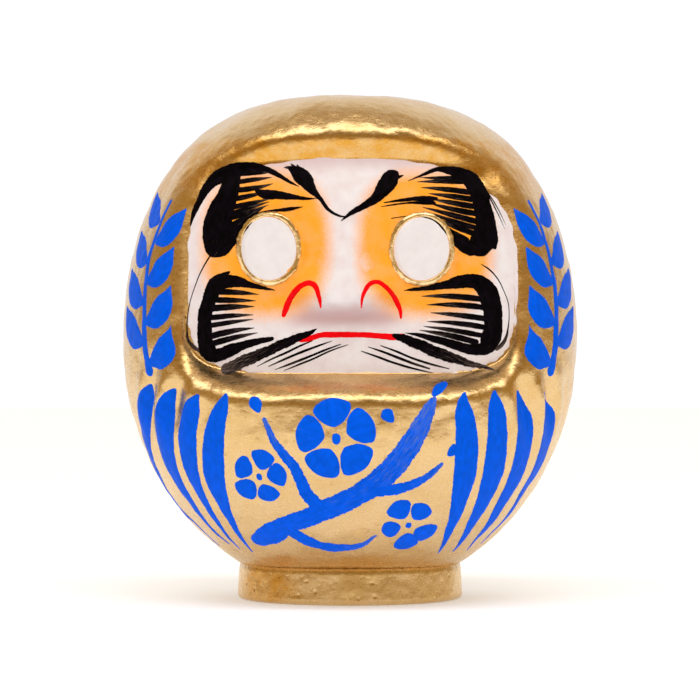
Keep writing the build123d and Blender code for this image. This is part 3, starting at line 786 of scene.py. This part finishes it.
def foot_profile():
    """Radius and height round the foot ring's section: up the outside from the rounded
    bottom edge, over the neck ledge and spigot, and down the inside."""
    turn = np.linspace(0.0, np.pi / 2.0, 9)
    edge = np.stack([50.4 + 2.2 * np.sin(turn), 2.2 - 2.2 * np.cos(turn)], axis=-1)
    side = np.stack([np.linspace(52.6, 51.9, 22), np.linspace(2.7, 13.2, 22)], axis=-1)
    bend = np.linspace(0.15, np.pi / 2.0, 8)
    shoulder = np.stack([51.9 - 1.5 * (1.0 - np.cos(bend)), 13.2 + 3.7 * np.sin(bend)], axis=-1)
    ledge = [(48.8, 17.0), (48.8, 23.2), (48.1, 24.0), (46.3, 24.0), (45.6, 23.2)]
    inside = [(45.6, 15.0), (47.9, 15.0), (47.9, 8.0), (47.9, 0.0)]
    return np.concatenate([edge, side, shoulder, ledge, inside])


class BuildFoot(BuildStep):
    """Builds the pitted foot ring and finishes the pieces inside the body"""

    bl_idname = "daruma.build_foot"
    bl_label = "Build foot and inner pieces"

    def execute(self, context):
        colours, _ = self.look(context)
        section = foot_profile()
        count = 640
        turn = np.linspace(0.0, 2.0 * np.pi, count, endpoint=False)
        radius = np.broadcast_to(section[:, :1], (len(section), count)).copy()
        height = np.broadcast_to(section[:, 1:], (len(section), count)).copy()
        skin = (section[:, :1] > 50.0) & (section[:, 1:] > 0.4)
        flat = np.stack([radius * np.cos(turn), radius * np.sin(turn), height], axis=-1).reshape(-1, 3)
        lumps = waves(flat, np.linspace(5.0, 26.0, 18), 11).reshape(radius.shape)
        rough = waves(flat, np.linspace(1.6, 3.6, 20), 12).reshape(radius.shape)
        torn = smooth((height - 14.0) / 2.6)
        radius += skin * (0.07 * lumps + (0.012 + 0.07 * torn) * rough)
        rng = np.random.default_rng(21)
        for _ in range(40):
            centre, level = rng.uniform(0.0, 2.0 * np.pi), rng.uniform(1.5, 16.0)
            size = rng.uniform(0.5, 1.5)
            away = (turn - centre + np.pi) % (2.0 * np.pi) - np.pi
            near = np.hypot(away[None, :] * 51.8, height - level) / size
            radius -= skin * 0.22 * size * bump(near)
        points = np.stack([radius * np.cos(turn), radius * np.sin(turn), height], axis=-1).reshape(-1, 3)
        rows = len(section)
        closing = np.stack([np.arange(count), (np.arange(count) + 1) % count], axis=-1)
        closing = np.concatenate([closing[:, ::-1], closing + (rows - 1) * count], axis=1)
        gold = gold_material("gold_foot", colours.gold, colours.deep_gold, colours.stain, 0.6, 0.22)
        # Painted reflection: an orange-brown tint on the front left of the foot, standing in for the gold reflecting
        # its warm surroundings.
        painted_reflection = np.minimum(2.2 * bump(np.hypot((points[:, 0] + 38.0) / 18.0, (points[:, 2] - 8.0) / 12.0)), 1.0) * (points[:, 1] < 0.0)
        ring = [grid_faces(rows, count, wrap=True), closing]
        foot = make_piece("foot_painted", points, ring, gold, {"orange_and_reflection": painted_reflection}, sharp=50.0)
        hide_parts("foot_ring")
        paper = plain_material("strip_paper", (0.72, 0.67, 0.58), (0.60, 0.54, 0.45), 2.2, 0.85, (1.0, 1.0, 0.2))
        clay = plain_material("clay", (0.30, 0.19, 0.12), (0.20, 0.12, 0.075), 3.5, 0.9)
        card = plain_material("board", (0.44, 0.34, 0.23), (0.33, 0.25, 0.17), 1.8, 0.85, (0.3, 1.0, 1.0))
        finishes = {
            "left_seam_strip": paper, "right_seam_strip": paper, "crown_seam_strip": paper,
            "base_weight": clay, "base_board": card,
        }
        for node, finish in finishes.items():
            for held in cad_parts[node].material_slots:
                held.material = finish
        return {"FINISHED"}


def spray_amount(x, z):
    """Orange from 0 to 1: a soft-edged cloud round each eye, thinner to the nose."""
    amount = np.zeros_like(x)
    for cx, cz, wide, high, soft in ((-37.5, 163.3, 28.0, 32.0, 0.5), (33.5, 163.0, 29.5, 32.0, 0.48)):
        far = (np.abs((x - cx) / wide) ** 2.6 + np.abs((z - cz) / high) ** 2.6) ** (1.0 / 2.6)
        amount = np.maximum(amount, smooth((1.0 + soft / 2.0 - far) / soft))
    return amount


class PaintFace(BuildStep):
    """Lays the white and orange face paint"""

    bl_idname = "daruma.paint_face"
    bl_label = "Paint face"

    def execute(self, context):
        colours, sizes = self.look(context)
        count, rings = 520, 150
        turn = np.linspace(0.0, 2.0 * np.pi, count, endpoint=False)
        upper = np.sin(turn) >= 0.0
        power = np.where(upper, np.where(np.cos(turn) > 0.0, 2.6, 2.9), 5.0)
        tall = np.where(upper, 201.4 - OPENING_Z, OPENING_Z - 105.1)
        wander = sum(np.sin(turn * k + p) for k, p in ((5, 1.0), (11, 2.2), (23, 0.4), (41, 3.0)))
        edge = 1.0 + 0.0035 * wander
        rim_x = 0.9 + 74.0 * edge * np.sign(np.cos(turn)) * np.abs(np.cos(turn)) ** (2.0 / power)
        rim_z = OPENING_Z + tall * edge * np.sign(np.sin(turn)) * np.abs(np.sin(turn)) ** (2.0 / power)
        share = np.sqrt(np.linspace(0.0004, 1.0, rings))[:, None]
        x, z = 0.9 + (rim_x - 0.9) * share, OPENING_Z + (rim_z - OPENING_Z) * share
        here, normal = surface_and_normal(angle_at(x, z), z)
        thin = 1.0 - 0.9 * smooth((share - 0.985) / 0.015)
        top = here + normal * sizes.face_lift * thin[..., None]
        under = here[::-1][::10] - normal[::-1][::10] * 0.9
        points = np.concatenate([top.reshape(-1, 3), under.reshape(-1, 3)])
        rows = rings + len(under)
        faces = [grid_faces(rows, count, wrap=True), [list(range(count))[::-1]], [list(range((rows - 1) * count, rows * count))]]
        all_x = np.concatenate([x.ravel(), x[::-1][::10].ravel()])
        all_z = np.concatenate([z.ravel(), z[::-1][::10].ravel()])
        # Painted shade under the nose, and a painted shadow of the hood's brim along the top of the face, kept in a
        # mesh layer that the face material reads.
        under_nose_shade = smooth((all_z - 124.0) / 6.0) * smooth((137.5 - all_z) / 7.0) * smooth((31.0 - np.abs(all_x + 2.0)) / 14.0)
        brow_shade = smooth((all_z - 192.3) / 8.0)
        layers = {"orange_and_reflection": spray_amount(all_x, all_z), "painted_shade": np.clip(1.0 * under_nose_shade + 0.5 * brow_shade, 0.0, 1.0)}
        material = face_material(colours.skin, colours.airbrush, colours.blush_and_shade)
        make_piece("face_paint", points, faces, material, layers, sharp=75.0)
        return {"FINISHED"}


def eye_ring_mesh(cx, cz, tilt, inner, outer, lift, seed):
    """Elliptical band round an eye as a closed low mound between two outlines."""
    rng = np.random.default_rng(seed)
    turn = np.linspace(0.0, 2.0 * np.pi, 200, endpoint=False)[:, None]
    across = np.concatenate([np.linspace(0.0, 1.0, 9), [0.97, 0.03]])[None, :]
    ragged = sum(np.sin(turn * k + rng.uniform(0.0, 6.28)) for k in (3, 7, 13, 29)) * 0.12
    wide = inner[0] + (outer[0] - inner[0] + ragged) * across
    high = inner[1] + (outer[1] - inner[1] + ragged) * across
    x, z = wide * np.cos(turn), high * np.sin(turn)
    lean = math.radians(tilt)
    px, pz = cx + x * math.cos(lean) - z * math.sin(lean), cz + x * math.sin(lean) + z * math.cos(lean)
    here, normal = surface_and_normal(angle_at(px, pz), pz)
    mound = lift * (1.0 - (2.0 * across - 1.0) ** 4 * 0.8)
    height = np.where(np.arange(11)[None, :] < 9, mound, -0.5) * np.ones_like(turn)
    points = (here + normal * height[..., None]).reshape(-1, 3)
    i, j = np.meshgrid(np.arange(200), np.arange(11), indexing="ij")
    k, m = (i + 1) % 200, (j + 1) % 11
    quads = np.stack([i * 11 + j, i * 11 + m, k * 11 + m, k * 11 + j], axis=-1).reshape(-1, 4)
    return points, quads


def eye_disc_mesh(cx, cz, tilt, reach, lift):
    """Blank white eye: an elliptical disc of paint, thin at its edge."""
    turn = np.linspace(0.0, 2.0 * np.pi, 160, endpoint=False)[None, :]
    share = np.concatenate([np.linspace(0.02, 1.0, 26), [0.97, 0.5, 0.02]])[:, None]
    x, z = reach[0] * share * np.cos(turn), reach[1] * share * np.sin(turn)
    lean = math.radians(tilt)
    px, pz = cx + x * math.cos(lean) - z * math.sin(lean), cz + x * math.sin(lean) + z * math.cos(lean)
    here, normal = surface_and_normal(angle_at(px, pz), pz)
    height = np.where(np.arange(29)[:, None] < 26, lift * (1.0 - 0.8 * share**12), -0.6) * np.ones_like(turn)
    points = (here + normal * height[..., None]).reshape(-1, 3)
    faces = [grid_faces(29, 160, wrap=True), [list(range(160))[::-1]], [list(range(28 * 160, 29 * 160))]]
    return points, faces


EYES = {"left": (-36.1, 161.0, 6.0), "right": (31.8, 160.8, -4.0)}


class PaintEyes(BuildStep):
    """Paints the blank eyes and their gold rings"""

    bl_idname = "daruma.paint_eyes"
    bl_label = "Paint eyes"

    def execute(self, context):
        colours, sizes = self.look(context)
        gold = gold_material("eye_gold", (0.95, 0.74, 0.42), colours.deep_gold, colours.stain, 0.5, 0.5)
        white = plain_material("eye_white", tuple(colours.skin), tuple(c * 0.93 for c in colours.skin), 6.0, 0.5)
        for index, (side, (cx, cz, tilt)) in enumerate(EYES.items()):
            ring, quads = eye_ring_mesh(cx, cz, tilt, (12.4, 14.2), (14.7, 16.6), 0.75, 31 + index)
            make_piece("eye_ring_" + side, ring, [quads], gold, sharp=75.0)
            disc, faces = eye_disc_mesh(cx, cz, tilt, (12.7, 14.5), sizes.face_lift + 0.16)
            make_piece("eye_blank_" + side, disc, faces, white, sharp=75.0)
        return {"FINISHED"}


class PaintLines(BuildStep):
    """Paints the brows, beard, moustache, whiskers, nose and mouth"""

    bl_idname = "daruma.paint_lines"
    bl_label = "Paint face lines"

    def execute(self, context):
        colours, sizes = self.look(context)
        ink = paint_material("ink", colours.ink, (0.004, 0.002, 0.005), (0.16, 0.12, 0.11), 0.45)
        red = paint_material("red_paint", colours.red, (0.80, 0.002, 0.004), (0.90, 0.16, 0.14), 0.4)
        low = sizes.line_lift
        groups = {
            "brow_left": (BROW_LEFT, BROW_LEFT_HAIRS), "brow_right": (BROW_RIGHT, BROW_RIGHT_HAIRS),
            "beard_left": (BEARD_LEFT, BEARD_LEFT_HAIRS), "beard_right": (BEARD_RIGHT, BEARD_RIGHT_HAIRS),
        }
        for name, (strokes, hairs) in groups.items():
            seed = sum(map(ord, name))
            meshes = [stroke_mesh(s, low + 0.02 * i, (0.0, 0.1), seed + i) for i, s in enumerate(strokes)]
            meshes += [stroke_mesh(hair(*h), low - 0.03, (0.05, 0.3), seed + 50 + i, ragged=0.03) for i, h in enumerate(hairs)]
            paint_piece(name, meshes, ink)
        meshes = [stroke_mesh(s, low + 0.02, (0.0, 0.34), 300 + i, ragged=0.09) for i, s in enumerate(MOUSTACHE)]
        paint_piece("moustache", meshes, ink)
        meshes = [stroke_mesh(s, low - 0.06, (0.0, 0.3), 320 + i, ragged=0.03) for i, s in enumerate(WHISKERS)]
        paint_piece("whiskers", meshes, ink)
        meshes = [stroke_mesh(s, low - 0.03, (0.0, 0.02), 340 + i, ragged=0.04) for i, s in enumerate(RED_LINES)]
        paint_piece("mouth_and_nose", meshes, red)
        return {"FINISHED"}


def on_belly(stroke):
    """The same control points with their place across turned into degrees."""
    points = np.asarray(stroke, float)
    points[:, 0] = angle_at(points[:, 0], points[:, 1])
    return points


def dab(x, z, reach, turn, width):
    """Short fat brush dab that starts at a point and is pressed down along turn degrees."""
    way = np.array([math.cos(math.radians(turn)), math.sin(math.radians(turn))])
    parts = ((0.0, 0.25), (0.3, 0.75), (0.65, 1.0), (1.0, 0.72))
    return [(x + way[0] * reach * t, z + way[1] * reach * t, width * w) for t, w in parts]


def flower(x, z, reach, turn):
    """Five petals pressed outwards from a clear middle, with a dotted heart."""
    strokes = []
    for k in range(5):
        way = turn + 90.0 + 72.0 * k
        start = 0.24 * reach
        px, pz = x + start * math.cos(math.radians(way)), z + start * math.sin(math.radians(way))
        strokes.append(dab(px, pz, reach * 0.6, way, reach * 0.78))
    strokes.append([(x - 0.09 * reach, z, 0.2 * reach), (x, z, 0.22 * reach), (x + 0.09 * reach, z, 0.2 * reach)])
    return strokes


class PaintRobe(BuildStep):
    """Paints the blue robe stripes, the flowering branch and the leaf sprays"""

    bl_idname = "daruma.paint_robe"
    bl_label = "Paint robe"

    def execute(self, context):
        colours, sizes = self.look(context)
        deep = tuple(c * 0.8 for c in colours.blue)
        blue = paint_material("blue_paint", colours.blue, deep, (0.12, 0.20, 0.62), 0.46)
        lift = sizes.robe_lift
        for name, stripes in (("stripes_left", STRIPES_LEFT), ("stripes_right", STRIPES_RIGHT)):
            meshes = [stroke_mesh(s, lift, (0.0, 0.12), 400 + 7 * i + len(name), True) for i, s in enumerate(stripes)]
            paint_piece(name, meshes, blue)
        meshes = [stroke_mesh(on_belly(s), lift, (0.0, 0.3), 430 + i, True, 0.09) for i, s in enumerate(BRANCH)]
        paint_piece("belly_branch", meshes, blue)
        meshes = []
        for i, place in enumerate(FLOWERS):
            meshes += [stroke_mesh(on_belly(s), lift, (0.0, 0.14), 450 + 10 * i + k, True) for k, s in enumerate(flower(*place))]
        for i, (x, z, reach, turn) in enumerate(BUDS):
            meshes.append(stroke_mesh(on_belly(dab(x, z, reach, turn, reach * 0.8)), lift, (0.0, 0.1), 490 + i, True))
        paint_piece("belly_flowers", meshes, blue)
        for name, side in (("leaves_left", -1.0), ("leaves_right", 1.0)):
            meshes = [stroke_mesh(s, lift, (0.0, 0.2), 500 + k + int(side), True) for k, s in enumerate(leaf_spray(side))]
            paint_piece(name, meshes, blue)
        return {"FINISHED"}


def leaf_spray(side):
    """A stem with alternate broad leaves up the side of the hood; strokes in degrees
    round the body, height and width."""
    stem = [(side * (58.0 + 3.5 * math.sin(t * 2.6)), 104.0 + 80.0 * t, 5.4 - 3.4 * t) for t in np.linspace(0.0, 1.0, 7)]
    strokes = [stem]
    for k in range(8):
        t = 0.06 + 0.115 * k
        base = side * (58.0 + 3.5 * math.sin(t * 2.6))
        z = 104.0 + 80.0 * t
        out = 1.0 if k % 2 else -1.0
        reach = (18.0 if out > 0.0 else 15.5) * (1.0 - 0.3 * t)
        rise = 19.0 * (1.0 - 0.25 * t)
        strokes.append([
            (base + side * out * 0.8, z + 0.8, 2.6),
            (base + side * out * reach * 0.42, z + rise * 0.24, 13.0 - 2.0 * t),
            (base + side * out * reach * 0.78, z + rise * 0.6, 12.0 - 2.0 * t),
            (base + side * out * reach, z + rise, 0.8),
        ])
    return strokes


class SetStage(BuildStep):
    """Adds the floor, studio light, surroundings and camera"""

    bl_idname = "daruma.set_stage"
    bl_label = "Set stage"

    def execute(self, context):
        scene = context.scene
        material, tree, shader, place = surface("stage_white", Roughness=0.9)
        shader.inputs["Base Color"].default_value = (0.93, 0.93, 0.93, 1.0)
        shader.inputs["Emission Color"].default_value = (0.84, 0.93, 1.0, 1.0)
        shader.inputs["Emission Strength"].default_value = 0.31
        mesh = bpy.data.meshes.new("floor")
        mesh.from_pydata([(-5, -5, 0), (5, -5, 0), (5, 5, 0), (-5, 5, 0)], [], [(0, 1, 2, 3)])
        mesh.materials.append(material)
        floor = bpy.data.objects.new("floor", mesh)
        scene.collection.objects.link(floor)
        lamps = (
            ("overhead", (0.0, -1.1, 1.5), (0.0, 0.0, 0.13), 1.3, 0.9, 7.0),
            ("key", (-1.5, -1.5, 0.9), (0.0, 0.0, 0.13), 0.9, 0.9, 3.8),
            ("fill", (1.5, -1.5, 0.7), (0.0, 0.0, 0.13), 0.9, 0.9, 3.2),
        )
        for name, spot, aim, width, height, power in lamps:
            data = bpy.data.lights.new(name, "AREA")
            data.shape, data.size, data.size_y, data.energy = "RECTANGLE", width, height, power
            lamp = bpy.data.objects.new(name, data)
            lamp.location = spot
            lamp.visible_glossy = False
            lamp.rotation_euler = (Vector(aim) - Vector(spot)).to_track_quat("-Z", "Y").to_euler()
            scene.collection.objects.link(lamp)
        set_surroundings(scene)
        camera = bpy.data.cameras.new("camera")
        camera.sensor_width, camera.lens = 36.0, 164.5
        camera.clip_end = 50.0
        view = bpy.data.objects.new("camera", camera)
        view.location = (0.0, -1.5, 0.1159)
        view.rotation_euler = (math.pi / 2.0, 0.0, 0.0)
        scene.collection.objects.link(view)
        scene.camera = view
        scene.view_settings.view_transform = "Standard"
        return {"FINISHED"}


def set_surroundings(scene):
    """Studio round the doll by angle over the top from front to back: white floor and
    backdrop, a dim warm room behind the camera and at both sides, and one long bright
    strip overhead."""
    world = bpy.data.worlds.new("studio")
    world.use_nodes = True
    tree = world.node_tree
    tree.nodes.clear()
    way = tree.nodes.new("ShaderNodeTexCoord").outputs["Generated"]
    parts = add_node(tree, "ShaderNodeSeparateXYZ", None, Vector=way)
    forward = add_node(tree, "ShaderNodeMath", {"operation": "MULTIPLY"})
    tree.links.new(parts.outputs["Y"], forward.inputs[0])
    forward.inputs[1].default_value = -1.0
    turn = add_node(tree, "ShaderNodeMath", {"operation": "ARCTAN2"})
    tree.links.new(parts.outputs["Z"], turn.inputs[0])
    tree.links.new(forward.outputs[0], turn.inputs[1])
    share = add_node(tree, "ShaderNodeMapRange")
    tree.links.new(turn.outputs[0], share.inputs[0])
    share.inputs[1].default_value = -math.pi
    share.inputs[2].default_value = math.pi
    band = tree.nodes.new("ShaderNodeValToRGB")
    tree.links.new(share.outputs[0], band.inputs[0])
    stops = (
        (-180.0, (1.02, 1.04, 1.12)), (-40.0, (1.0, 1.0, 1.0)), (-14.0, (0.62, 0.50, 0.34)), (6.0, (0.47, 0.32, 0.11)),
        (30.0, (0.33, 0.20, 0.05)), (56.0, (0.24, 0.14, 0.02)), (64.0, (1.9, 1.8, 1.6)), (71.0, (4.2, 4.2, 4.2)),
        (76.0, (4.2, 4.2, 4.2)), (81.0, (0.32, 0.20, 0.06)), (98.0, (0.44, 0.31, 0.17)), (112.0, (0.66, 0.56, 0.46)),
        (124.0, (0.96, 0.96, 1.02)), (180.0, (1.02, 1.04, 1.12)),
    )
    while len(band.color_ramp.elements) < len(stops):
        band.color_ramp.elements.new(0.5)
    for element, (degrees, colour) in zip(band.color_ramp.elements, stops):
        element.position = (degrees + 180.0) / 360.0
        element.color = (*colour, 1.0)
    outward = add_node(tree, "ShaderNodeMath", {"operation": "ABSOLUTE"})
    tree.links.new(parts.outputs["X"], outward.inputs[0])
    above = ramp(tree, add_node(tree, "ShaderNodeMapRange", None, Value=parts.outputs["Z"], From_Min=-1.0).outputs[0], (0.42, 0.0), (0.5, 1.0))
    aside = add_node(tree, "ShaderNodeMath", {"operation": "MULTIPLY"})
    tree.links.new(ramp(tree, outward.outputs[0], (0.55, 0.0), (0.78, 1.0)), aside.inputs[0])
    tree.links.new(above, aside.inputs[1])
    light = mix_colour(tree, aside.outputs[0], band.outputs[0], (0.45, 0.29, 0.09))
    background = add_node(tree, "ShaderNodeBackground", None, Color=light, Strength=1.0)
    output = tree.nodes.new("ShaderNodeOutputWorld")
    tree.links.new(background.outputs[0], output.inputs[0])
    scene.world = world


class DollPanel(bpy.types.Panel):
    """Colours, sizes and build steps of the doll"""

    bl_idname = "DARUMA_PT_panel"
    bl_label = "Daruma doll"
    bl_space_type = "VIEW_3D"
    bl_region_type = "UI"
    bl_category = "Daruma"

    def draw(self, context):
        for group in (context.scene.daruma_colours, context.scene.daruma_sizes):
            for key in group.bl_rna.properties.keys():
                if key not in ("name", "rna_type"):
                    self.layout.prop(group, key)
        for step in STEPS:
            self.layout.operator(step.bl_idname)


STEPS = (BuildBody, BuildFoot, PaintFace, PaintEyes, PaintLines, PaintRobe, SetStage)
CLASSES = (DollColours, DollSizes) + STEPS + (DollPanel,)


def register():
    for item in CLASSES:
        bpy.utils.register_class(item)
    bpy.types.Scene.daruma_colours = bpy.props.PointerProperty(type=DollColours)
    bpy.types.Scene.daruma_sizes = bpy.props.PointerProperty(type=DollSizes)


def unregister():
    del bpy.types.Scene.daruma_sizes
    del bpy.types.Scene.daruma_colours
    for item in reversed(CLASSES):
        bpy.utils.unregister_class(item)


def main():
    register()
    bpy.ops.daruma.build_body()
    bpy.ops.daruma.build_foot()
    bpy.ops.daruma.paint_face()
    bpy.ops.daruma.paint_eyes()
    bpy.ops.daruma.paint_lines()
    bpy.ops.daruma.paint_robe()
    bpy.ops.daruma.set_stage()


if __name__ == "__main__":
    main()
